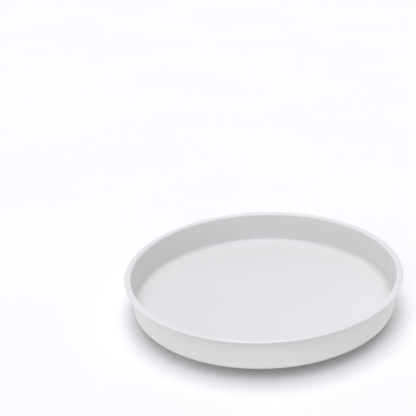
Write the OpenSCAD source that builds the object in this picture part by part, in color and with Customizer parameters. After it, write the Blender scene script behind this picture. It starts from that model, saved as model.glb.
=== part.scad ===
// Lazy susan turntable: a drawn sheet-steel tray with a rolled rim that turns on a
// ball race above a low sheet-steel base with rubber feet.
// Millimetres, +Z up. The origin is on the spin axis, in the plane that the feet stand on.

/* [Tray] */
// Outer diameter over the rolled rim
tray_d = 305; // [240:1:400]
// Height of the tray from the underside of its floor to the top of its rim
tray_h = 37; // [24:0.1:60]
// Sheet thickness of the tray
tray_t = 0.8; // [0.6:0.1:1]
// Lean of the tray wall from vertical, in degrees
wall_lean = 1.5; // [1:0.5:10]
// Inside radius of the corner between floor and wall
corner_r = 4; // [2:0.5:8]

/* [Rolled rim] */
// Width of the roll, from the inner face of the wall to the outside
roll_w = 7.4; // [6:0.1:9]
// Height of the roll
roll_h = 2.4; // [2.2:0.1:4]

/* [Base] */
// Outer diameter of the base pan
base_d = 196; // [196:1:220]
// Sheet thickness of the base pan
base_t = 0.8; // [0.6:0.1:1.2]
// Height of the base pan's flat underside above the table
base_h = 6.5; // [6.5:0.1:10]
// Height of the skirt's lower edge above the table
skirt_z = 2.2; // [1.5:0.1:2.4]
// Height of the raised hub above the base pan's plate
hub_rise = 5; // [4.6:0.1:5.2]

/* [Feet] */
// Diameter of a foot
foot_d = 15; // [12:0.5:15]

/* [Ball race] */
// Number of balls
ball_n = 16; // [8:1:24]
// Radius of the circle that the balls run on
race_r = 62; // [58:1:62]
// Sheet thickness of the race rings
race_t = 0.8; // [0.6:0.1:1]
// Depth of the pressed groove
groove_h = 1.8; // [1.2:0.1:2]
// Thickness of the ball cage
cage_t = 1.6; // [1:0.1:2]

/* [Pivot] */
// Diameter of the centre stud's bearing length
stud_d = 6; // [5:0.5:8]
// Radial clearance between the stud and its bush
stud_gap = 0.05; // [0.02:0.01:0.1]

/* [Hidden] */
$fn = 180;

// Finishes
white_coat = [0.93, 0.94, 0.95];
zinc = [0.76, 0.77, 0.78];
chrome_steel = [0.85, 0.86, 0.88];
nylon = [0.92, 0.91, 0.87];
acetal = [0.16, 0.16, 0.17];
insert_blue = [0.16, 0.34, 0.62];
grey_rubber = [0.30, 0.31, 0.32];

// Fixed sizes
ball_d = 6;                                      // ball diameter
foot_n = 6;                                      // one node each, foot_1 to foot_6
foot_pcr = base_d / 2 - 12;                      // circle that the feet stand on

// Heights
plate_z = base_h + base_t;                       // top of the base pan's plate
back_gap = 0.1;                                  // between a groove's back and the plate behind it
ball_gap = 0.05;                                 // above and below each ball
low_groove_z = plate_z + back_gap + race_t;      // bottom of the lower groove
ball_z = low_groove_z + ball_gap + ball_d / 2;   // ball centres
top_groove_z = ball_z + ball_d / 2 + ball_gap;   // roof of the upper groove
tray_z = top_groove_z + race_t + back_gap;       // underside of the tray floor
floor_z = tray_z + tray_t;                       // top of the tray floor
rim_z = tray_z + tray_h;                         // top of the rim
hub_z = plate_z + hub_rise;                      // top of the base pan's hub

// Race ring radii
groove_r = ball_d / 2 + 0.15;                    // groove section, a little wider than the ball
groove_half = sqrt(groove_r * groove_r - pow(groove_r - groove_h, 2));
ring_in = race_r - 16;                           // inner edge
ring_leg_in = race_r - 12;                       // inner flange meets its leg
ring_top_in = race_r - 9.5;                      // leg meets the inner shoulder
ring_top_out = race_r + 6.5;                     // outer shoulder meets its leg
ring_leg_out = race_r + 9;                       // leg meets the outer flange
ring_out = race_r + 18.5;                        // outer edge
bolt_r = race_r + 13.8;                          // circle of the studs and rivets
rivet_n = 6;
stud_n = 4;
stud_r = 2;                                      // M4 weld stud
rivet_r = 2.1;

// Points of an arc about (x, z), from angle a0 to a1
function arc(x, z, r, a0, a1, n = 10) =
    [for (i = [0 : n]) let (a = a0 + (a1 - a0) * i / n) [x + r * cos(a), z + r * sin(a)]];
function oval(x, z, a, b, a0, a1, n = 10) =
    [for (i = [0 : n]) let (t = a0 + (a1 - a0) * i / n) [x + a * cos(t), z + b * sin(t)]];
function rev(p) = [for (i = [len(p) - 1 : -1 : 0]) p[i]];
// A point of a profile moved up by s times h, for the mirrored rings
function flip(p, z0) = [for (q = p) [q[0], 2 * z0 - q[1]]];

module revolve(points) { rotate_extrude() polygon(points); }
module around(n, r, turn = 0) { for (i = [0 : n - 1]) rotate([0, 0, turn + i * 360 / n]) translate([r, 0, 0]) children(); }

// ---- Tray ----
bend_out = 2.2;                                  // outside radius of the bend from wall to rim
bend_x = tray_d / 2 - roll_w + bend_out;
bend_z = rim_z - bend_out;
roll_r = roll_h / 2;
roll_a = roll_r + 1;                             // the rim's outer edge is an oval, wider than it is high
roll_x = tray_d / 2 - roll_a;
roll_z = rim_z - roll_r;
curl_x = tray_d / 2 - roll_w + tray_t + 0.4;     // where the curl ends, just clear of the wall
wall_len = (bend_z + (bend_out + corner_r) * sin(wall_lean) - floor_z - corner_r) / cos(wall_lean);
corner_x = bend_x - (bend_out + corner_r) * cos(wall_lean) - wall_len * sin(wall_lean);
corner_z = floor_z + corner_r;

// One closed section of sheet: floor, corner, leaning wall and the rim curled out and under
module tray_pan() {
    color(white_coat)
    revolve(concat(
        [[0, tray_z]],
        arc(corner_x, corner_z, corner_r + tray_t, -90, -wall_lean),
        arc(bend_x, bend_z, bend_out - tray_t, 180 - wall_lean, 90),
        oval(roll_x, roll_z, roll_a - tray_t, roll_r - tray_t, 90, -90, 16),
        [[curl_x + 0.3, rim_z - roll_h + tray_t], [curl_x, rim_z - roll_h + tray_t / 2], [curl_x + 0.3, rim_z - roll_h]],
        oval(roll_x, roll_z, roll_a, roll_r, -90, 90, 16),
        arc(bend_x, bend_z, bend_out, 90, 180 - wall_lean),
        arc(corner_x, corner_z, corner_r, -wall_lean, -90),
        [[0, floor_z]]
    ));
}

// ---- Race rings ----
// Upper surface of the lower ring, from its inner edge outwards, and its lower surface
slope = 0.33;                                    // how far a leg's lower surface stands off, for the same sheet thickness
shoulder_z = low_groove_z + groove_h;
function ring_top() = concat(
    [[ring_in, plate_z + race_t], [ring_leg_in, plate_z + race_t], [ring_top_in, shoulder_z]],
    arc(race_r, low_groove_z + groove_r, groove_r, 180 + asin((groove_r - groove_h) / groove_r), 360 - asin((groove_r - groove_h) / groove_r), 16),
    [[ring_top_out, shoulder_z], [ring_leg_out, plate_z + race_t], [ring_out, plate_z + race_t]]);
function ring_bottom() = concat(
    [[ring_in, plate_z], [ring_leg_in + slope, plate_z], [ring_top_in + slope, shoulder_z - race_t]],
    arc(race_r, low_groove_z + groove_r, groove_r + race_t, 180 + asin((groove_r - groove_h + race_t) / (groove_r + race_t)), 360 - asin((groove_r - groove_h + race_t) / (groove_r + race_t)), 16),
    [[ring_top_out - slope, shoulder_z - race_t], [ring_leg_out - slope, plate_z], [ring_out, plate_z]]);

// The lower ring stands on the base pan on its flanges, and its groove opens upwards
module lower_race() {
    color(zinc)
    difference() {
        revolve(concat(ring_top(), rev(ring_bottom())));
        around(rivet_n, bolt_r, 15) translate([0, 0, plate_z - 1]) cylinder(r = rivet_r, h = race_t + 2, $fn = 48);
    }
}

// The same pressing turned over under the tray
module upper_race() {
    color(zinc)
    difference() {
        revolve(concat(flip(ring_top(), ball_z), rev(flip(ring_bottom(), ball_z))));
        around(stud_n, bolt_r, 45) translate([0, 0, tray_z - race_t - 1]) cylinder(r = stud_r + 0.25, h = race_t + 2, $fn = 48);
    }
}

// ---- Studs and nuts that hold the upper ring to the tray ----
stud_end = tray_z - race_t - 4.4;
module weld_studs() {
    color(zinc)
    around(stud_n, bolt_r, 45) {
        translate([0, 0, stud_end + 0.5]) cylinder(r = stud_r, h = tray_z - stud_end - 0.5, $fn = 48);
        translate([0, 0, stud_end]) cylinder(r1 = stud_r - 0.5, r2 = stud_r, h = 0.5, $fn = 48);
    }
}

module stud_nuts() {
    z = tray_z - race_t;
    color(zinc)
    around(stud_n, bolt_r, 45)
    difference() {
        union() {
            translate([0, 0, z - 1]) cylinder(r = 4.2, h = 1, $fn = 48);
            translate([0, 0, z - 4]) cylinder(d = 7 / cos(30), h = 3.2, $fn = 6);
        }
        translate([0, 0, z - 5]) cylinder(r = stud_r, h = 6, $fn = 48);
    }
}

// ---- Ball cage and balls ----
cage_r0 = race_r - 6;
cage_r1 = race_r + 6;
module ball_cage() {
    color(nylon)
    difference() {
        revolve([
            [cage_r0 + 0.4, ball_z - cage_t / 2], [cage_r1 - 0.4, ball_z - cage_t / 2],
            [cage_r1, ball_z - cage_t / 2 + 0.4], [cage_r1, ball_z + cage_t / 2 - 0.4],
            [cage_r1 - 0.4, ball_z + cage_t / 2], [cage_r0 + 0.4, ball_z + cage_t / 2],
            [cage_r0, ball_z + cage_t / 2 - 0.4], [cage_r0, ball_z - cage_t / 2 + 0.4]
        ]);
        around(ball_n, race_r) translate([0, 0, ball_z - 3]) cylinder(r = ball_d / 2 + 0.15, h = 6, $fn = 64);
        // Slots between the pockets, which let the cage flex
        around(ball_n, race_r, 180 / ball_n) translate([-2.6, -1.4, ball_z - 3]) cube([5.2, 2.8, 6]);
    }
}

module bearing_balls() {
    color(chrome_steel)
    around(ball_n, race_r) translate([0, 0, ball_z]) sphere(d = ball_d, $fn = 64);
}

// ---- Centre pivot ----
bush_r = 5;
washer_z = hub_z - base_t - 2.6;                 // top of the retaining washer
module centre_stud() {
    color(zinc)
    union() {
        translate([0, 0, tray_z - 1.2]) cylinder(r = 8, h = 1.2, $fn = 96);
        translate([0, 0, washer_z]) cylinder(r = stud_d / 2, h = tray_z - 0.6 - washer_z, $fn = 96);
        translate([0, 0, washer_z - 6]) cylinder(r = 2.5, h = 6.5, $fn = 64);
        translate([0, 0, washer_z - 6.5]) cylinder(r1 = 2, r2 = 2.5, h = 0.5, $fn = 64);
    }
}

module retaining_washer() {
    color(zinc)
    difference() {
        translate([0, 0, washer_z - 1]) cylinder(r = 8, h = 1, $fn = 96);
        translate([0, 0, washer_z - 2]) cylinder(r = 2.5, h = 3, $fn = 64);
    }
}

// Hexagon with a turned collar that grips the nylon insert
module lock_nut() {
    z = washer_z - 1;
    color(zinc)
    difference() {
        union() {
            translate([0, 0, z - 3.6]) cylinder(d = 8 / cos(30), h = 3.6, $fn = 6);
            translate([0, 0, z - 5]) cylinder(r = 3.7, h = 2, $fn = 64);
        }
        translate([0, 0, z - 6]) cylinder(r = 2.5, h = 7, $fn = 64);
        translate([0, 0, z - 4.7]) cylinder(r = 3.2, h = 1.1, $fn = 64);
    }
}

module lock_nut_insert() {
    z = washer_z - 1;
    color(insert_blue)
    difference() {
        translate([0, 0, z - 4.7]) cylinder(r = 3.2, h = 1.1, $fn = 64);
        translate([0, 0, z - 5.5]) cylinder(r = 2.5, h = 3, $fn = 64);
    }
}

// Flanged bush pressed into the base pan's hub
module hub_bush() {
    color(acetal)
    difference() {
        union() {
            translate([0, 0, hub_z]) cylinder(r = 9, h = 1, $fn = 96);
            translate([0, 0, hub_z - base_t - 2.2]) cylinder(r = bush_r, h = base_t + 2.7, $fn = 96);
        }
        translate([0, 0, hub_z - 8]) cylinder(r = stud_d / 2 + stud_gap, h = 12, $fn = 96);
    }
}

// ---- Base pan ----
hub_flat = 14;                                   // radius of the hub's flat top
hub_foot = 20;                                   // radius where the hub's slope meets the plate
edge_r = 3;                                      // outside radius from plate to skirt
base_r = base_d / 2;
hem_z = plate_z - edge_r - 0.1;                  // top of the hem folded up inside the skirt
foot_hole_r = 3;
module base_pan() {
    color(white_coat)
    difference() {
        revolve(concat(
            // upper and outer surface
            [[0, hub_z], [hub_flat, hub_z], [hub_flat + 0.9, hub_z - 0.35], [hub_foot - 1, plate_z + 0.3], [hub_foot, plate_z]],
            arc(base_r - edge_r, plate_z - edge_r, edge_r, 90, 0),
            // hem folded inwards at the bottom of the skirt
            arc(base_r - base_t, skirt_z + base_t, base_t, 0, -180, 12),
            [[base_r - 2 * base_t, hem_z], [base_r - base_t, hem_z]],
            // inner and lower surface
            arc(base_r - edge_r, plate_z - edge_r, edge_r - base_t, 0, 90),
            [[hub_foot - 0.5, base_h], [hub_foot - 1.6, base_h + 0.4], [hub_flat + 0.3, hub_z - base_t - 0.35], [hub_flat - 0.6, hub_z - base_t], [0, hub_z - base_t]]
        ));
        translate([0, 0, hub_z - 5]) cylinder(r = bush_r, h = 8, $fn = 96);
        around(foot_n, foot_pcr) translate([0, 0, base_h - 1]) cylinder(r = foot_hole_r, h = base_t + 2, $fn = 48);
        around(rivet_n, bolt_r, 15) translate([0, 0, base_h - 1]) cylinder(r = rivet_r, h = base_t + 2, $fn = 48);
    }
}

// Rivets through the lower ring's outer flange and the base pan, domed below and set above
module race_rivets() {
    z0 = base_h;
    z1 = plate_z + race_t;
    color(zinc)
    around(rivet_n, bolt_r, 15)
    rotate_extrude($fn = 48) polygon(concat(
        [[0, z0 - 1.3], [1.2, z0 - 1.2], [2.3, z0 - 0.9], [3.1, z0 - 0.4], [3.3, z0]],
        [[rivet_r, z0], [rivet_r, z1], [3, z1], [2.9, z1 + 0.6], [2.4, z1 + 0.9], [0, z1 + 1]]
    ));
}

// ---- Feet ----
// Rubber button with a shallow recess below, and a stem pushed through the plate with a barb above it
module foot(i) {
    color(grey_rubber)
    rotate([0, 0, i * 360 / foot_n]) translate([foot_pcr, 0, 0])
    rotate_extrude($fn = 64) polygon(concat(
        [[0, 0.7], [foot_d * 0.26, 0.7], [foot_d * 0.3, 0]],
        [[foot_d / 2 - 1, 0]],
        arc(foot_d / 2 - 1, 1, 1, -90, 0, 6),
        [[foot_d / 2, base_h - 0.8], [foot_d / 2 - 0.4, base_h], [foot_hole_r, base_h], [foot_hole_r, plate_z]],
        [[foot_hole_r + 1, plate_z], [foot_hole_r + 1, plate_z + 0.5], [foot_hole_r - 0.8, plate_z + 1.9], [0, plate_z + 1.9]]
    ));
}
module foot_1() { foot(0); }
module foot_2() { foot(1); }
module foot_3() { foot(2); }
module foot_4() { foot(3); }
module foot_5() { foot(4); }
module foot_6() { foot(5); }

tray_pan();
upper_race();
weld_studs();
stud_nuts();
centre_stud();
retaining_washer();
lock_nut();
lock_nut_insert();
ball_cage();
bearing_balls();
base_pan();
lower_race();
race_rivets();
hub_bush();
foot_1();
foot_2();
foot_3();
foot_4();
foot_5();
foot_6();
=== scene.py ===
"""Lazy susan turntable: the looks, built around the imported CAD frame. Metres, +Z up."""

import math

import bmesh
import bpy
from mathutils import Matrix, Vector
from mathutils.geometry import delaunay_2d_cdt


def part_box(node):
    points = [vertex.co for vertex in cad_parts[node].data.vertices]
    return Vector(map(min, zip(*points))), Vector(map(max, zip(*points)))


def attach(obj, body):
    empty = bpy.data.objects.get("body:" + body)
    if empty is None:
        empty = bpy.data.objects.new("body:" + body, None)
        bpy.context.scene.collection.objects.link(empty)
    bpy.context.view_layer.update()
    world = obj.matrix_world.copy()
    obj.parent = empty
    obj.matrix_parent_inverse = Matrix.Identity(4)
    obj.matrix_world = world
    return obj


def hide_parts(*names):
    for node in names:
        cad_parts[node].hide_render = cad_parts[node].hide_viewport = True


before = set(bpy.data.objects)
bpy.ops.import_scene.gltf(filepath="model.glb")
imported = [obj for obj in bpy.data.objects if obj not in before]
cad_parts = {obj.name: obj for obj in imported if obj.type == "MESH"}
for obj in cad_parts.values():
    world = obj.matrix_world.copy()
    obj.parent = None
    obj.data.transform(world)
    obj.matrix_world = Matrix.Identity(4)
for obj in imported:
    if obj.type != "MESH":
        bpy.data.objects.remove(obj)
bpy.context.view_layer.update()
MM = 0.001


def span(node):
    """Radius, lowest and highest z of a node, in millimetres."""
    lo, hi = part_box(node)
    return max(abs(lo.x), hi.x) / MM, lo.z / MM, hi.z / MM


TRAY_R, TRAY_Z, RIM_Z = span("tray_pan")
BASE_R, SKIRT_Z, HUB_Z = span("base_pan")
_, LO_LO, _ = span("lower_race")
BALL_LO, BALL_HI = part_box("bearing_balls")[0].z / MM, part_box("bearing_balls")[1].z / MM
BALL_Z = (BALL_LO + BALL_HI) / 2
RACE_R = 62.0
PLATE_Z = LO_LO
BASE_H = PLATE_Z - 0.8
FOOT_R = (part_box("foot_1")[0].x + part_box("foot_1")[1].x) / 2 / MM
FOOT_D = (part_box("foot_1")[1].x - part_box("foot_1")[0].x) / MM
BOLT_R = RACE_R + 13.8


# ------------------------------------------------------------------ mesh tools
def arc(x, z, r, a0, a1, n=10):
    return [
        (x + r * math.cos(math.radians(a0 + (a1 - a0) * i / n)), z + r * math.sin(math.radians(a0 + (a1 - a0) * i / n)))
        for i in range(n + 1)
    ]


def oval(x, z, a, b, a0, a1, n=20):
    return [
        (x + a * math.cos(math.radians(a0 + (a1 - a0) * i / n)), z + b * math.sin(math.radians(a0 + (a1 - a0) * i / n)))
        for i in range(n + 1)
    ]


def bend(points, radii, n=5):
    """A path of (r, z) points with its inner corners rounded; radii has one value for each inner point."""
    out = [points[0]]
    for i in range(1, len(points) - 1):
        p0, p, p1 = Vector(points[i - 1]), Vector(points[i]), Vector(points[i + 1])
        a, b = (p0 - p).normalized(), (p1 - p).normalized()
        r = radii[i - 1]
        half = math.acos(max(-1, min(1, a.dot(b)))) / 2
        if r <= 0 or half > math.radians(89.5):
            out.append(tuple(p))
            continue
        t = min(r / math.tan(half), 0.48 * (p0 - p).length, 0.48 * (p1 - p).length)
        r = t * math.tan(half)
        c = p + (a + b).normalized() * (r / math.sin(half))
        s, e = p + a * t, p + b * t
        a0, a1 = math.atan2(s.y - c.y, s.x - c.x), math.atan2(e.y - c.y, e.x - c.x)
        d = (a1 - a0 + math.pi) % (2 * math.pi) - math.pi
        out += [(c.x + r * math.cos(a0 + d * k / n), c.y + r * math.sin(a0 + d * k / n)) for k in range(n + 1)]
    out.append(points[-1])
    return out


def supported(points, gap=0.25, longest=9.0):
    """The same path with extra points near both ends of each long straight, so that smooth shading stays true there."""
    out = [points[0]]
    for p, q in zip(points, points[1:]):
        length = math.dist(p, q)
        if length > 6 * gap:
            cuts = [gap] + [gap + (length - 2 * gap) * k / max(1, math.ceil((length - 2 * gap) / longest)) for k in range(1, max(1, math.ceil((length - 2 * gap) / longest)))] + [length - gap]
            out += [(p[0] + (q[0] - p[0]) * c / length, p[1] + (q[1] - p[1]) * c / length) for c in cuts]
        out.append(q)
    return out


def circle(x, y, r, n):
    return [(x + r * math.cos(2 * math.pi * k / n), y + r * math.sin(2 * math.pi * k / n)) for k in range(n)]


def turned(points, angle):
    c, s = math.cos(angle), math.sin(angle)
    return [(c * x - s * y, s * x + c * y) for x, y in points]


def cut_plate(bm, inner, outer, z, holes):
    """Fills the flat ring between two rings of vertices, around the holes, and returns each hole's vertices."""
    loops = [[bm.verts.new((x * MM, y * MM, z * MM)) for x, y in h] for h in holes]
    groups = [inner, outer] + loops
    verts = [v for g in groups for v in g]
    edges, k = [], 0
    for g in groups:
        edges += [(k + i, k + (i + 1) % len(g)) for i in range(len(g))]
        k += len(g)
    coords = [Vector((v.co.x / MM, v.co.y / MM)) for v in verts]
    out, _, faces, origin, _, _ = delaunay_2d_cdt(coords, edges, [], 0, 1e-6)
    r_in = math.hypot(inner[0].co.x, inner[0].co.y) / MM * math.cos(math.pi / len(inner))
    r_out = math.hypot(outer[0].co.x, outer[0].co.y) / MM
    boxes = [(min(x for x, _ in h), max(x for x, _ in h), min(y for _, y in h), max(y for _, y in h)) for h in holes]

    def in_hole(x, y):
        for h, (x0, x1, y0, y1) in zip(holes, boxes):
            if not (x0 < x < x1 and y0 < y < y1):
                continue
            hit = False
            for (ax, ay), (bx, by) in zip(h, h[1:] + h[:1]):
                if (ay > y) != (by > y) and x < (bx - ax) * (y - ay) / (by - ay) + ax:
                    hit = not hit
            if hit:
                return True
        return False

    for f in faces:
        x = sum(out[i].x for i in f) / 3
        y = sum(out[i].y for i in f) / 3
        if not r_in < math.hypot(x, y) < r_out or in_hole(x, y):
            continue
        vs = [verts[origin[i][0]] for i in f]
        if all(v in inner for v in vs):
            continue
        try:
            bm.faces.new(vs)
        except ValueError:
            pass
    return loops


def lathe(bm, points, seg=256, closed=True, holes=(), plates=(), at=(0.0, 0.0), turn=0.0):
    """Turns a path of (r, z) about a vertical axis. plates are two edge numbers that the holes go through."""
    rings = []
    ox, oy = at
    for r, z in points:
        if r < 1e-5:
            rings.append([bm.verts.new((ox * MM, oy * MM, z * MM))])
        else:
            rings.append([
                bm.verts.new(((ox + r * math.cos(turn + 2 * math.pi * k / seg)) * MM, (oy + r * math.sin(turn + 2 * math.pi * k / seg)) * MM, z * MM))
                for k in range(seg)
            ])
    n = len(points)
    walls = []
    for i in range(n if closed else n - 1):
        a, b = rings[i], rings[(i + 1) % n]
        if i in plates:
            low, high = (a, b) if points[i][0] < points[(i + 1) % n][0] else (b, a)
            walls.append(cut_plate(bm, low, high, points[i][1], holes))
            continue
        if len(a) == 1 and len(b) == 1:
            continue
        for k in range(seg):
            m = (k + 1) % seg
            if len(a) == 1:
                bm.faces.new((a[0], b[k], b[m]))
            elif len(b) == 1:
                bm.faces.new((a[k], b[0], a[m]))
            else:
                bm.faces.new((a[k], b[k], b[m], a[m]))
    if len(walls) == 2:
        for p, q in zip(*walls):
            for k in range(len(p)):
                m = (k + 1) % len(p)
                bm.faces.new((p[k], q[k], q[m], p[m]))
    return rings


def thread(bm, r, z0, z1, pitch, depth, at=(0.0, 0.0), seg=40, tip=0.4):
    """A threaded shank from its tip at z0 up to z1, as one closed skin."""
    rows = max(4, int(math.ceil((z1 - z0) / (pitch / 8))))
    pts = []
    for j in range(rows + 1):
        z = z0 + (z1 - z0) * j / rows
        ring = []
        ease = min(1.0, (z - z0) / tip) if tip else 1.0
        for k in range(seg):
            a = 2 * math.pi * k / seg
            phase = ((z - z0) / pitch - k / seg) % 1.0
            cut = depth * min(1.0, 2.2 * abs(phase - 0.5))
            rr = (r - depth * 0.9) + (depth * 0.9 - cut) * ease if ease < 1 else r - cut
            ring.append(bm.verts.new(((at[0] + rr * math.cos(a)) * MM, (at[1] + rr * math.sin(a)) * MM, z * MM)))
        pts.append(ring)
    for a, b in zip(pts, pts[1:]):
        for k in range(seg):
            m = (k + 1) % seg
            bm.faces.new((a[k], a[m], b[m], b[k]))
    bottom = bm.verts.new((at[0] * MM, at[1] * MM, (z0 - 0.05) * MM))
    top = bm.verts.new((at[0] * MM, at[1] * MM, z1 * MM))
    for k in range(seg):
        m = (k + 1) % seg
        bm.faces.new((bottom, pts[0][m], pts[0][k]))
        bm.faces.new((top, pts[-1][k], pts[-1][m]))


def hex_nut(bm, af, low, z0, z1, high, at=(0.0, 0.0), turn=0.0, chamfer_low=True, chamfer_high=True, seg=72):
    """A hexagon nut as one skin. low and high are the (r, z) turned parts under and over the hexagon, bore to hexagon and back."""
    corner = af / 2 / math.cos(math.pi / 6)
    inset = af / 2 * 0.95
    rise = (corner - inset) * math.tan(math.radians(30))
    levels = [0.18, 0.4, 0.7, 1.0]
    rows = []

    def row(z, limit=99.0, fixed=None):
        ring = []
        for k in range(seg):
            a = 2 * math.pi * k / seg
            fold = (a + math.pi / 6) % (math.pi / 3) - math.pi / 6
            r = fixed if fixed else min(af / 2 / math.cos(fold), corner - 0.12, limit)
            ring.append(bm.verts.new(((at[0] + r * math.cos(turn + a)) * MM, (at[1] + r * math.sin(turn + a)) * MM, z * MM)))
        rows.append(ring)

    for r, z in low:
        row(z, fixed=r)
    if chamfer_low:
        row(z0, fixed=inset)
        for t in levels:
            row(z0 + rise * t, inset + (corner - inset) * t)
    else:
        row(z0)
    if chamfer_high:
        for t in reversed(levels):
            row(z1 - rise * t, inset + (corner - inset) * t)
        row(z1, fixed=inset)
    else:
        row(z1)
    for r, z in high:
        row(z, fixed=r)
    for a, b in zip(rows, rows[1:] + rows[:1]):
        for k in range(seg):
            m = (k + 1) % seg
            bm.faces.new((a[k], b[k], b[m], a[m]))


def finish_mesh(name, bm, material, body, node, sharp=32):
    bmesh.ops.remove_doubles(bm, verts=bm.verts, dist=1e-8)
    bmesh.ops.dissolve_degenerate(bm, edges=bm.edges, dist=1e-9)
    bmesh.ops.recalc_face_normals(bm, faces=bm.faces)
    me = bpy.data.meshes.new(name)
    bm.to_mesh(me)
    bm.free()
    me.shade_smooth()
    me.set_sharp_from_angle(angle=math.radians(sharp))
    me.materials.append(material)
    ob = bpy.data.objects.new(name, me)
    bpy.context.scene.collection.objects.link(ob)
    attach(ob, body)
    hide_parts(node)
    return ob


# ------------------------------------------------------------------ materials
def new_material(name):
    m = bpy.data.materials.new(name)
    m.use_nodes = True
    nt = m.node_tree
    nt.nodes.clear()
    out = nt.nodes.new("ShaderNodeOutputMaterial")
    sh = nt.nodes.new("ShaderNodeBsdfPrincipled")
    nt.links.new(sh.outputs[0], out.inputs[0])
    co = nt.nodes.new("ShaderNodeTexCoord")
    return m, nt, sh, co.outputs["Object"]


def noise(nt, vec, scale, detail=3.0, rough=0.5, stretch=None):
    if stretch:
        mp = nt.nodes.new("ShaderNodeMapping")
        mp.inputs["Scale"].default_value = stretch
        nt.links.new(vec, mp.inputs["Vector"])
        vec = mp.outputs[0]
    n = nt.nodes.new("ShaderNodeTexNoise")
    n.inputs["Scale"].default_value = scale
    n.inputs["Detail"].default_value = detail
    n.inputs["Roughness"].default_value = rough
    nt.links.new(vec, n.inputs["Vector"])
    return n.outputs["Fac"]


def ramp(nt, fac, a, b, lo=0.3, hi=0.7):
    """Maps a factor to a number between a and b."""
    m = nt.nodes.new("ShaderNodeMapRange")
    m.inputs["From Min"].default_value = lo
    m.inputs["From Max"].default_value = hi
    m.inputs["To Min"].default_value = a
    m.inputs["To Max"].default_value = b
    nt.links.new(fac, m.inputs["Value"])
    return m.outputs[0]


def two_colours(nt, fac, a, b, lo=0.35, hi=0.65):
    r = nt.nodes.new("ShaderNodeValToRGB")
    r.color_ramp.elements[0].position = lo
    r.color_ramp.elements[1].position = hi
    r.color_ramp.elements[0].color = (*a, 1)
    r.color_ramp.elements[1].color = (*b, 1)
    nt.links.new(fac, r.inputs["Fac"])
    return r.outputs["Color"]


def bump(nt, sh, layers):
    """layers: (height socket, distance in metres, strength), stacked."""
    last = None
    for height, distance, strength in layers:
        b = nt.nodes.new("ShaderNodeBump")
        b.inputs["Distance"].default_value = distance
        b.inputs["Strength"].default_value = strength
        nt.links.new(height, b.inputs["Height"])
        if last:
            nt.links.new(last, b.inputs["Normal"])
        last = b.outputs["Normal"]
    nt.links.new(last, sh.inputs["Normal"])


def radial(nt, vec):
    """(distance from the spin axis, 0, z) as one vector, for marks that run round."""
    s = nt.nodes.new("ShaderNodeSeparateXYZ")
    nt.links.new(vec, s.inputs[0])

    def maths(op, a, b=None):
        n = nt.nodes.new("ShaderNodeMath")
        n.operation = op
        nt.links.new(a, n.inputs[0])
        if b is not None:
            if isinstance(b, (int, float)):
                n.inputs[1].default_value = b
            else:
                nt.links.new(b, n.inputs[1])
        return n.outputs[0]

    r = maths("SQRT", maths("ADD", maths("MULTIPLY", s.outputs[0], s.outputs[0]), maths("MULTIPLY", s.outputs[1], s.outputs[1])))
    c = nt.nodes.new("ShaderNodeCombineXYZ")
    nt.links.new(r, c.inputs[0])
    nt.links.new(s.outputs[2], c.inputs[2])
    return c.outputs[0]


ROUGH = 0.32


def powder_coat(name, light, dark):
    m, nt, sh, vec = new_material(name)
    cloud = noise(nt, vec, 14, 2, 0.45)
    nt.links.new(two_colours(nt, cloud, dark, light, 0.34, 0.66), sh.inputs["Base Color"])
    peel = noise(nt, vec, 620, 2, 0.4)
    grain = noise(nt, vec, 2600, 2, 0.5)
    nt.links.new(ramp(nt, noise(nt, vec, 45, 3), ROUGH - 0.04, ROUGH + 0.04), sh.inputs["Roughness"])
    sh.inputs["IOR"].default_value = 1.5
    bump(nt, sh, [(noise(nt, vec, 16, 1, 0.3), 0.0005, 0.10), (peel, 0.00006, 0.35), (grain, 0.00002, 0.35)])
    return m


def zinc(name):
    m, nt, sh, vec = new_material(name)
    sh.inputs["Metallic"].default_value = 1.0
    cloud = noise(nt, vec, 70, 4, 0.6)
    nt.links.new(two_colours(nt, cloud, (0.50, 0.52, 0.55), (0.66, 0.68, 0.70)), sh.inputs["Base Color"])
    lines = noise(nt, radial(nt, vec), 1.0, 4, 0.6, stretch=(2200, 1, 900))
    nt.links.new(ramp(nt, noise(nt, vec, 160, 4, 0.65), 0.26, 0.44), sh.inputs["Roughness"])
    bump(nt, sh, [(lines, 0.00002, 0.35), (noise(nt, vec, 900, 3), 0.00002, 0.4)])
    return m


def ball_steel(name):
    m, nt, sh, vec = new_material(name)
    sh.inputs["Metallic"].default_value = 1.0
    nt.links.new(two_colours(nt, noise(nt, vec, 260, 3), (0.66, 0.67, 0.69), (0.76, 0.77, 0.78)), sh.inputs["Base Color"])
    nt.links.new(ramp(nt, noise(nt, vec, 500, 4, 0.6), 0.08, 0.17), sh.inputs["Roughness"])
    bump(nt, sh, [(noise(nt, vec, 3000, 2), 0.00001, 0.15)])
    return m


def plastic(name, a, b, rough, subsurface=0.0, peel=500):
    m, nt, sh, vec = new_material(name)
    nt.links.new(two_colours(nt, noise(nt, vec, 90, 3), a, b), sh.inputs["Base Color"])
    nt.links.new(ramp(nt, noise(nt, vec, 220, 3), rough - 0.05, rough + 0.07), sh.inputs["Roughness"])
    if subsurface:
        sh.inputs["Subsurface Weight"].default_value = subsurface
        sh.inputs["Subsurface Scale"].default_value = 0.0015
        sh.inputs["Subsurface Radius"].default_value = (1.0, 0.9, 0.7)
    bump(nt, sh, [(noise(nt, vec, peel, 2), 0.00004, 0.3), (noise(nt, vec, 3500, 2), 0.00002, 0.35)])
    return m


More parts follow.
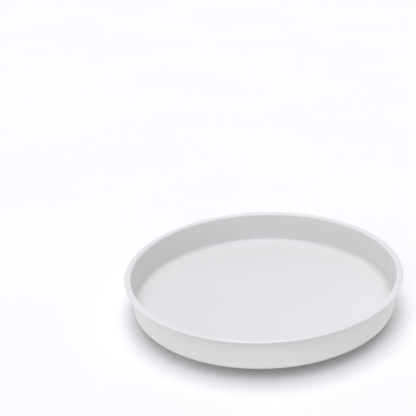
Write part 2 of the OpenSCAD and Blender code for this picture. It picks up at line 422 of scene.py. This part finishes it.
def rubber(name):
    m, nt, sh, vec = new_material(name)
    dust = noise(nt, vec, 380, 5, 0.65)
    nt.links.new(two_colours(nt, dust, (0.045, 0.046, 0.048), (0.085, 0.085, 0.086), 0.4, 0.75), sh.inputs["Base Color"])
    nt.links.new(ramp(nt, noise(nt, vec, 700, 3), 0.66, 0.86), sh.inputs["Roughness"])
    sh.inputs["Specular IOR Level"].default_value = 0.35
    bump(nt, sh, [(noise(nt, vec, 1400, 3, 0.6), 0.00005, 0.5), (noise(nt, vec, 5000, 2), 0.00003, 0.4)])
    return m


def pale_floor(name):
    """White paper sweep."""
    m, nt, sh, vec = new_material(name)
    nt.links.new(two_colours(nt, noise(nt, vec, 3, 2), (0.912, 0.912, 0.912), (0.922, 0.922, 0.922)), sh.inputs["Base Color"])
    nt.links.new(ramp(nt, noise(nt, vec, 40, 2), 0.78, 0.86), sh.inputs["Roughness"])
    sh.inputs["Specular IOR Level"].default_value = 0.0
    bump(nt, sh, [(noise(nt, vec, 240, 3), 0.00005, 0.2)])
    return m


COAT = powder_coat("white_powder_coat", (0.746, 0.747, 0.746), (0.737, 0.738, 0.738))
ZINC = zinc("zinc_plate")
BALL = ball_steel("ball_steel")
NYLON = plastic("natural_nylon", (0.74, 0.72, 0.66), (0.80, 0.78, 0.72), 0.42, 0.12)
ACETAL = plastic("black_acetal", (0.020, 0.020, 0.022), (0.034, 0.034, 0.036), 0.36)
INSERT = plastic("blue_nylon_insert", (0.035, 0.11, 0.33), (0.05, 0.15, 0.42), 0.40)
RUBBER = rubber("grey_rubber")


# ------------------------------------------------------------------ tray
SHEET = 0.8
ROLL_W, ROLL_H, BEND = 7.4, 2.4, 2.2
LEAN, CORNER = 1.5, 4.0
FLOOR_Z = TRAY_Z + SHEET
lean = math.radians(LEAN)
bend_x, bend_z = TRAY_R - ROLL_W + BEND, RIM_Z - BEND
roll_r = ROLL_H / 2
roll_a = roll_r + 1.0
roll_x, roll_z = TRAY_R - roll_a, RIM_Z - roll_r
curl_x = TRAY_R - ROLL_W + SHEET + 0.4
wall_len = (bend_z + (BEND + CORNER) * math.sin(lean) - FLOOR_Z - CORNER) / math.cos(lean)
corner_x = bend_x - (BEND + CORNER) * math.cos(lean) - wall_len * math.sin(lean)
corner_z = FLOOR_Z + CORNER

under = supported([(0.0, TRAY_Z), (corner_x, TRAY_Z)], 0.3, 20)[:-1]
under += arc(corner_x, corner_z, CORNER + SHEET, -90, -LEAN, 14)
up_out = arc(bend_x, bend_z, BEND - SHEET, 180 - LEAN, 90, 10)
under += supported([under[-1], up_out[0]], 0.3, 8)[1:-1] + up_out
inner_roll = oval(roll_x, roll_z, roll_a - SHEET, roll_r - SHEET, 90, -90, 16)
under += supported([under[-1], inner_roll[0]], 0.15, 5)[1:-1] + inner_roll
tip_z = RIM_Z - ROLL_H + SHEET / 2
under += arc(curl_x + SHEET / 2, tip_z, SHEET / 2, 90, 270, 8)
outer_roll = oval(roll_x, roll_z, roll_a, roll_r, -90, 90, 28)
under += outer_roll
up_in = arc(bend_x, bend_z, BEND, 90, 180 - LEAN, 14)
under += supported([under[-1], up_in[0]], 0.15, 5)[1:-1] + up_in
in_corner = arc(corner_x, corner_z, CORNER, -LEAN, -90, 14)
under += supported([under[-1], in_corner[0]], 0.3, 8)[1:-1] + in_corner
under += supported([under[-1], (0.0, FLOOR_Z)], 0.3, 20)[1:]
bm = bmesh.new()
lathe(bm, under, 384, closed=False)
finish_mesh("tray", bm, COAT, "turntable", "tray_pan", 40)

# ------------------------------------------------------------------ base pan
EDGE = 3.0
hem_z = PLATE_Z - EDGE - 0.1
bush_hole = 5.0
hub_flat, hub_foot = 14.0, 20.0
top_path = bend([(bush_hole, HUB_Z), (hub_flat + 0.4, HUB_Z), (hub_foot - 0.6, PLATE_Z), (BASE_R - EDGE, PLATE_Z)], [1.6, 1.6])
low_path = bend([(bush_hole, HUB_Z - 0.8), (hub_flat - 0.1, HUB_Z - 0.8), (hub_foot - 1.1, BASE_H), (BASE_R - EDGE, BASE_H)], [0.9, 2.3])
top_path = supported(top_path, 0.2, 12)
low_path = supported(low_path, 0.2, 12)


def straight(path, z):
    """The last long run of a path at height z, merged into one edge whose index is returned with the path."""
    first = next(i for i, p in enumerate(path) if abs(p[1] - z) < 1e-6 and p[0] > hub_foot - 2)
    keep = path[: first + 2] + path[-2:]
    return keep, first + 1


top_path, top_edge = straight(top_path, PLATE_Z)
low_path, low_edge = straight(low_path, BASE_H)
skirt = arc(BASE_R - EDGE, PLATE_Z - EDGE, EDGE, 90, 0, 12)[1:]
skirt += arc(BASE_R - 0.8, SKIRT_Z + 0.8, 0.8, 0, -180, 12)
hem_end = arc(BASE_R - 1.2, hem_z - 0.4, 0.4, 180, 0, 8)
inside = arc(BASE_R - EDGE, PLATE_Z - EDGE, EDGE - 0.8, 0, 90, 10)
rest = skirt + hem_end + inside[:-1]
loop = top_path + rest + list(reversed(low_path))
low_index = len(top_path) + len(rest) + (len(low_path) - 2 - low_edge)
foot_holes = [circle(FOOT_R * math.cos(i * math.pi / 3), FOOT_R * math.sin(i * math.pi / 3), 3.0, 48) for i in range(6)]
rivet_holes = [circle(BOLT_R * math.cos(math.radians(15 + 60 * i)), BOLT_R * math.sin(math.radians(15 + 60 * i)), 2.1, 40) for i in range(6)]
bm = bmesh.new()
lathe(bm, loop, 288, closed=True, holes=foot_holes + rivet_holes, plates=(top_edge, low_index))
finish_mesh("base", bm, COAT, "base", "base_pan", 40)

# ------------------------------------------------------------------ race rings
GROOVE_H = 1.8
groove_r = 3.15
groove_z = BALL_Z - 3.05
shoulder = groove_z + GROOVE_H
a_top = math.degrees(math.asin((groove_r - GROOVE_H) / groove_r))
a_low = math.degrees(math.asin((groove_r - GROOVE_H + 0.8) / (groove_r + 0.8)))
ring_in, leg_in, top_in = RACE_R - 16, RACE_R - 12, RACE_R - 9.5
top_out, leg_out, ring_out = RACE_R + 6.5, RACE_R + 9, RACE_R + 18.5
slope = 0.33


def race_loop(flip):
    z = (lambda v: 2 * BALL_Z - v) if flip else (lambda v: v)
    groove = arc(RACE_R, groove_z + groove_r, groove_r, 180 + a_top, 360 - a_top, 20)
    back = arc(RACE_R, groove_z + groove_r, groove_r + 0.8, 180 + a_low, 360 - a_low, 20)
    top = bend([(ring_in, PLATE_Z + 0.8), (leg_in, PLATE_Z + 0.8), (top_in, shoulder), groove[0]], [0.9, 0.5], 4)[:-1]
    top += bend([(groove[0][0] - 0.5, groove[0][1]), groove[0], groove[1]], [0.2], 2)[1:-1] + groove[1:-1]
    top += bend([groove[-2], groove[-1], (groove[-1][0] + 0.5, groove[-1][1])], [0.2], 2)[1:-1]
    top += bend([groove[-1], (top_out, shoulder), (leg_out, PLATE_Z + 0.8), (ring_out, PLATE_Z + 0.8)], [0.5, 0.9], 4)[1:]
    low = bend([(ring_in, PLATE_Z), (leg_in + slope, PLATE_Z), (top_in + slope, shoulder - 0.8), back[0]], [0.5, 0.9], 4)
    low += back[1:]
    low += bend([back[-1], (top_out - slope, shoulder - 0.8), (leg_out - slope, PLATE_Z), (ring_out, PLATE_Z)], [0.9, 0.5], 4)[1:]
    # rolled-over sheared edges
    top[0] = (ring_in + 0.2, PLATE_Z + 0.8)
    top[-1] = (ring_out - 0.2, PLATE_Z + 0.8)
    low[0] = (ring_in + 0.1, PLATE_Z)
    low[-1] = (ring_out - 0.1, PLATE_Z)
    edge_out = [(ring_out - 0.06, PLATE_Z + 0.74), (ring_out, PLATE_Z + 0.58), (ring_out, PLATE_Z + 0.12)]
    edge_in = [(ring_in, PLATE_Z + 0.12), (ring_in, PLATE_Z + 0.58), (ring_in + 0.06, PLATE_Z + 0.74)]
    top_plate = len(top) - 2
    loop = top + edge_out + list(reversed(low)) + edge_in
    low_plate = len(top) + len(edge_out)
    return [(r, z(h)) for r, h in loop], (top_plate, low_plate)


loop, plates = race_loop(False)
bm = bmesh.new()
lathe(bm, loop, 256, closed=True, holes=rivet_holes, plates=plates)
finish_mesh("lower_race_ring", bm, ZINC, "base", "lower_race", 40)

stud_spots = [(BOLT_R * math.cos(math.radians(45 + 90 * i)), BOLT_R * math.sin(math.radians(45 + 90 * i))) for i in range(4)]
loop, plates = race_loop(True)
bm = bmesh.new()
lathe(bm, loop, 256, closed=True, holes=[circle(x, y, 2.25, 40) for x, y in stud_spots], plates=plates)
finish_mesh("upper_race_ring", bm, ZINC, "turntable", "upper_race", 40)

# ------------------------------------------------------------------ studs and nuts
stud_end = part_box("weld_studs")[0].z / MM
bm = bmesh.new()
for x, y in stud_spots:
    thread(bm, 2.0, stud_end + 0.05, TRAY_Z, 0.7, 0.32, at=(x, y))
finish_mesh("tray_weld_studs", bm, ZINC, "turntable", "weld_studs", 50)

nut_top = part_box("stud_nuts")[1].z / MM
nut_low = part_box("stud_nuts")[0].z / MM
bm = bmesh.new()
for i, (x, y) in enumerate(stud_spots):
    face = [(4.05, nut_top - 1.0), (4.16, nut_top - 0.96), (4.2, nut_top - 0.85), (4.2, nut_top - 0.15), (4.16, nut_top - 0.04), (4.05, nut_top), (2.35, nut_top), (2.0, nut_top - 0.35)]
    hex_nut(bm, 7.0, [(2.0, nut_low + 0.35), (2.35, nut_low)], nut_low, nut_top - 1.0, face, at=(x, y), turn=0.35 * i, chamfer_high=False)
finish_mesh("race_flange_nuts", bm, ZINC, "turntable", "stud_nuts", 40)

# ------------------------------------------------------------------ centre pivot
stud_low, stud_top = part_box("centre_stud")[0].z / MM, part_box("centre_stud")[1].z / MM
wash_low, wash_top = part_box("retaining_washer")[0].z / MM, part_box("retaining_washer")[1].z / MM
bm = bmesh.new()
lathe(bm, bend([(0.0, stud_top), (8.0, stud_top), (8.0, stud_top - 1.2), (3.0, stud_top - 1.2), (3.0, wash_top), (2.4, wash_top), (0.0, wash_top)], [0.25, 0.3, 0.5, 0.1, 0.0], 4), 72, closed=False)
thread(bm, 2.5, stud_low + 0.05, wash_top, 0.8, 0.36, seg=48)
finish_mesh("pivot_stud", bm, ZINC, "turntable", "centre_stud", 45)

bm = bmesh.new()
lathe(bm, bend([(2.5, (wash_low + wash_top) / 2), (2.5, wash_top), (8.0, wash_top), (8.0, wash_low), (2.5, wash_low), (2.5, (wash_low + wash_top) / 2)], [0.12, 0.25, 0.12, 0.12], 3)[:-1], 96, closed=True)
finish_mesh("pivot_washer", bm, ZINC, "turntable", "retaining_washer", 40)

nut_low, nut_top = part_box("lock_nut")[0].z / MM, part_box("lock_nut")[1].z / MM
ins_low, ins_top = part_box("lock_nut_insert")[0].z / MM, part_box("lock_nut_insert")[1].z / MM
bm = bmesh.new()
collar = [(2.5, ins_top + 0.3), (2.75, ins_top), (3.2, ins_top), (3.2, nut_low + 0.2), (3.0, nut_low + 0.04), (3.12, nut_low), (3.4, nut_low + 0.04), (3.6, nut_low + 0.2), (3.7, nut_low + 0.5), (3.7, nut_top - 3.6)]
hex_nut(bm, 8.0, collar, nut_top - 3.6, nut_top, [(2.85, nut_top), (2.5, nut_top - 0.35)])
finish_mesh("pivot_lock_nut", bm, ZINC, "turntable", "lock_nut", 40)

bm = bmesh.new()
lathe(bm, bend([(2.45, ins_top), (3.2, ins_top), (3.2, ins_low), (2.45, ins_low), (2.45, ins_top)], [0.1, 0.25, 0.35], 4)[:-1], 72, closed=True)
finish_mesh("lock_nut_nylon", bm, INSERT, "turntable", "lock_nut_insert", 40)

bush_low, bush_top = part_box("hub_bush")[0].z / MM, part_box("hub_bush")[1].z / MM
mid = (bush_low + bush_top) / 2
bm = bmesh.new()
lathe(bm, bend([(3.05, mid), (3.05, bush_low), (5.0, bush_low), (5.0, bush_top - 1.0), (9.0, bush_top - 1.0), (9.0, bush_top), (3.05, bush_top), (3.05, mid)], [0.25, 0.35, 0.05, 0.12, 0.3, 0.25], 4)[:-1], 96, closed=True)
finish_mesh("pivot_bush", bm, ACETAL, "base", "hub_bush", 40)

# ------------------------------------------------------------------ cage and balls
cage_lo, cage_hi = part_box("ball_cage")[0].z / MM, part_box("ball_cage")[1].z / MM
c0, c1 = RACE_R - 6, RACE_R + 6
cage = [(c0 + 0.4, cage_hi), (c1 - 0.4, cage_hi)]
cage += arc(c1 - 0.4, cage_hi - 0.4, 0.4, 90, 0, 4)[1:] + arc(c1 - 0.4, cage_lo + 0.4, 0.4, 0, -90, 4)
cage += [(c0 + 0.4, cage_lo)] + arc(c0 + 0.4, cage_lo + 0.4, 0.4, -90, -180, 4)[1:] + arc(c0 + 0.4, cage_hi - 0.4, 0.4, 180, 90, 4)[:-1]
low_index = 1 + 4 + 5
pockets = [circle(RACE_R * math.cos(2 * math.pi * i / 16), RACE_R * math.sin(2 * math.pi * i / 16), 3.15, 48) for i in range(16)]
slot_shape = []
for cx, cy, a in ((2.2, 1.0, 0), (-2.2, 1.0, 90), (-2.2, -1.0, 180), (2.2, -1.0, 270)):
    slot_shape += [(RACE_R + cx + 0.4 * math.cos(math.radians(a + t)), cy + 0.4 * math.sin(math.radians(a + t))) for t in (0, 22.5, 45, 67.5, 90)]
slots = [turned(slot_shape, math.pi / 16 + 2 * math.pi * i / 16) for i in range(16)]
bm = bmesh.new()
lathe(bm, cage, 256, closed=True, holes=pockets + slots, plates=(0, low_index))
finish_mesh("nylon_ball_cage", bm, NYLON, "cage", "ball_cage", 40)

bm = bmesh.new()
for i in range(16):
    spot = Matrix.Translation((RACE_R * math.cos(2 * math.pi * i / 16) * MM, RACE_R * math.sin(2 * math.pi * i / 16) * MM, BALL_Z * MM))
    bmesh.ops.create_icosphere(bm, subdivisions=4, radius=3.0 * MM, matrix=spot)
finish_mesh("steel_balls", bm, BALL, "cage", "bearing_balls", 60)

# ------------------------------------------------------------------ rivets
riv_lo, riv_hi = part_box("race_rivets")[0].z / MM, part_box("race_rivets")[1].z / MM
bm = bmesh.new()
for i in range(6):
    a = math.radians(15 + 60 * i)
    dome = [(3.3 * math.sin(math.radians(t)), BASE_H - 1.3 * math.cos(math.radians(t))) for t in range(0, 91, 9)]
    dome[0] = (0.0, riv_lo)
    shop = bend([(2.1, PLATE_Z + 0.8), (3.0, PLATE_Z + 0.8), (2.9, PLATE_Z + 1.5), (2.3, riv_hi - 0.05), (0.9, riv_hi - 0.12), (0.0, riv_hi - 0.2)], [0.2, 0.3, 0.3, 0.3], 3)
    lathe(bm, dome + [(2.1, BASE_H)] + shop, 48, closed=False, at=(BOLT_R * math.cos(a), BOLT_R * math.sin(a)))
finish_mesh("race_rivet_set", bm, ZINC, "base", "race_rivets", 45)

# ------------------------------------------------------------------ feet
half = FOOT_D / 2
foot_path = bend([(0.0, 0.7), (half * 0.50, 0.7), (half * 0.6, 0.0), (half - 1.95, 0.0)], [0.3, 0.2], 4)[:-1]
for k in range(2):  # two fine grooves round the sole
    x = half * 0.6 + 0.35 + 0.62 * k
    foot_path += [(x, 0.0), (x + 0.1, 0.16), (x + 0.2, 0.16), (x + 0.3, 0.0)]
foot_path += arc(half - 1.0, 1.0, 1.0, -90, 0, 8)
foot_path += bend([(half, 1.0), (half, BASE_H - 0.8), (half - 0.4, BASE_H), (3.0, BASE_H)], [0.5, 0.25], 4)[1:]
foot_path += [(3.0, PLATE_Z)] + bend([(3.0, PLATE_Z), (4.0, PLATE_Z), (4.0, PLATE_Z + 0.5), (2.2, PLATE_Z + 1.9), (0.0, PLATE_Z + 1.9)], [0.2, 0.3, 0.5], 4)[1:]
foot_path = supported(foot_path, 0.12, 4)
for i in range(6):
    a = i * math.pi / 3
    bm = bmesh.new()
    lathe(bm, foot_path, 72, closed=False, at=(FOOT_R * math.cos(a), FOOT_R * math.sin(a)))
    finish_mesh("rubber_foot_%d" % (i + 1), bm, RUBBER, "base", "foot_%d" % (i + 1), 40)

# ------------------------------------------------------------------ stage, light, camera
me = bpy.data.meshes.new("floor")
me.from_pydata([(-9, -9, -0.0001), (9, -9, -0.0001), (9, 9, -0.0001), (-9, 9, -0.0001)], [], [(0, 1, 2, 3)])
floor = bpy.data.objects.new("floor", me)
bpy.context.scene.collection.objects.link(floor)
me.materials.append(pale_floor("pale_floor"))

scene = bpy.context.scene
scene.view_settings.view_transform = "Standard"
scene.view_settings.look = "None"
scene.view_settings.exposure = 0.0
scene.view_settings.gamma = 1.0
world = bpy.data.worlds.new("studio")
scene.world = world
world.use_nodes = True
wt = world.node_tree
bg = wt.nodes["Background"]
bg.inputs["Color"].default_value = (1, 1, 1, 1)
# a pale horizon, so that the paper has no dark edge in a low view, under a dimmer studio
way = wt.nodes.new("ShaderNodeTexCoord")
parts = wt.nodes.new("ShaderNodeSeparateXYZ")
wt.links.new(way.outputs["Generated"], parts.inputs[0])
wt.links.new(ramp(wt, parts.outputs[2], 0.87, 0.12, 0.10, 0.30), bg.inputs["Strength"])


def softbox(name, azimuth, elevation, size, strength, colour=(1, 1, 1)):
    """A big soft disc of light, far off. Azimuth 0 is +X, 90 is behind the object, 270 is the camera's side."""
    light = bpy.data.lights.new(name, "SUN")
    light.energy = strength
    light.angle = math.radians(size)
    light.color = colour
    a, e = math.radians(azimuth), math.radians(elevation)
    towards = Vector((math.cos(a) * math.cos(e), math.sin(a) * math.cos(e), math.sin(e)))
    ob = bpy.data.objects.new(name, light)
    ob.location = towards * 3
    ob.rotation_euler = (-towards).to_track_quat("-Z", "Y").to_euler()
    scene.collection.objects.link(ob)
    return ob


softbox("overhead", 0, 90, 40, 1.24)
softbox("front_high", 270, 60, 40, 1.12, (0.97, 0.99, 1.05))
softbox("front_left", 225, 34, 40, 0.36)
softbox("front_right", 315, 34, 40, 0.12)
softbox("back_right", 45, 34, 40, 0.14)
softbox("back", 90, 34, 40, 0.30, (0.94, 0.98, 1.10))
softbox("left_low", 157, 14, 24, 0.50)
softbox("right_low", 22, 14, 24, 0.20)

# The camera looks at the tray's floor circle from a height of about 29 degrees
DIST = 6.0 * TRAY_R * MM
ELEV, YAW, PITCH, ROLL = 0.5120, 0.0641, -0.1085, -0.0308
FOCAL = math.exp(4.9024) * 6.0
eye = Vector((0, -DIST * math.cos(ELEV), DIST * math.sin(ELEV)))
ahead = -eye.normalized()
right = ahead.cross(Vector((0, 0, 1))).normalized()
up = right.cross(ahead)
rows = Matrix((right, -up, ahead))
turn = (
    Matrix(((math.cos(ROLL), -math.sin(ROLL), 0), (math.sin(ROLL), math.cos(ROLL), 0), (0, 0, 1)))
    @ Matrix(((1, 0, 0), (0, math.cos(PITCH), -math.sin(PITCH)), (0, math.sin(PITCH), math.cos(PITCH))))
    @ Matrix(((math.cos(YAW), 0, math.sin(YAW)), (0, 1, 0), (-math.sin(YAW), 0, math.cos(YAW))))
    @ rows
)
cam_data = bpy.data.cameras.new("camera")
cam = bpy.data.objects.new("camera", cam_data)
scene.collection.objects.link(cam)
x_axis, y_axis, z_axis = turn[0].copy(), -turn[1], -turn[2]
where = eye + Vector((0, 0, (FLOOR_Z + 1.4) * MM))
cam.matrix_world = Matrix((
    (x_axis.x, y_axis.x, z_axis.x, where.x),
    (x_axis.y, y_axis.y, z_axis.y, where.y),
    (x_axis.z, y_axis.z, z_axis.z, where.z),
    (0, 0, 0, 1),
))
cam_data.sensor_width = 36
cam_data.sensor_fit = "HORIZONTAL"
cam_data.lens = FOCAL / 416 * 36
cam_data.clip_start = 0.01
cam_data.clip_end = 100
scene.camera = cam
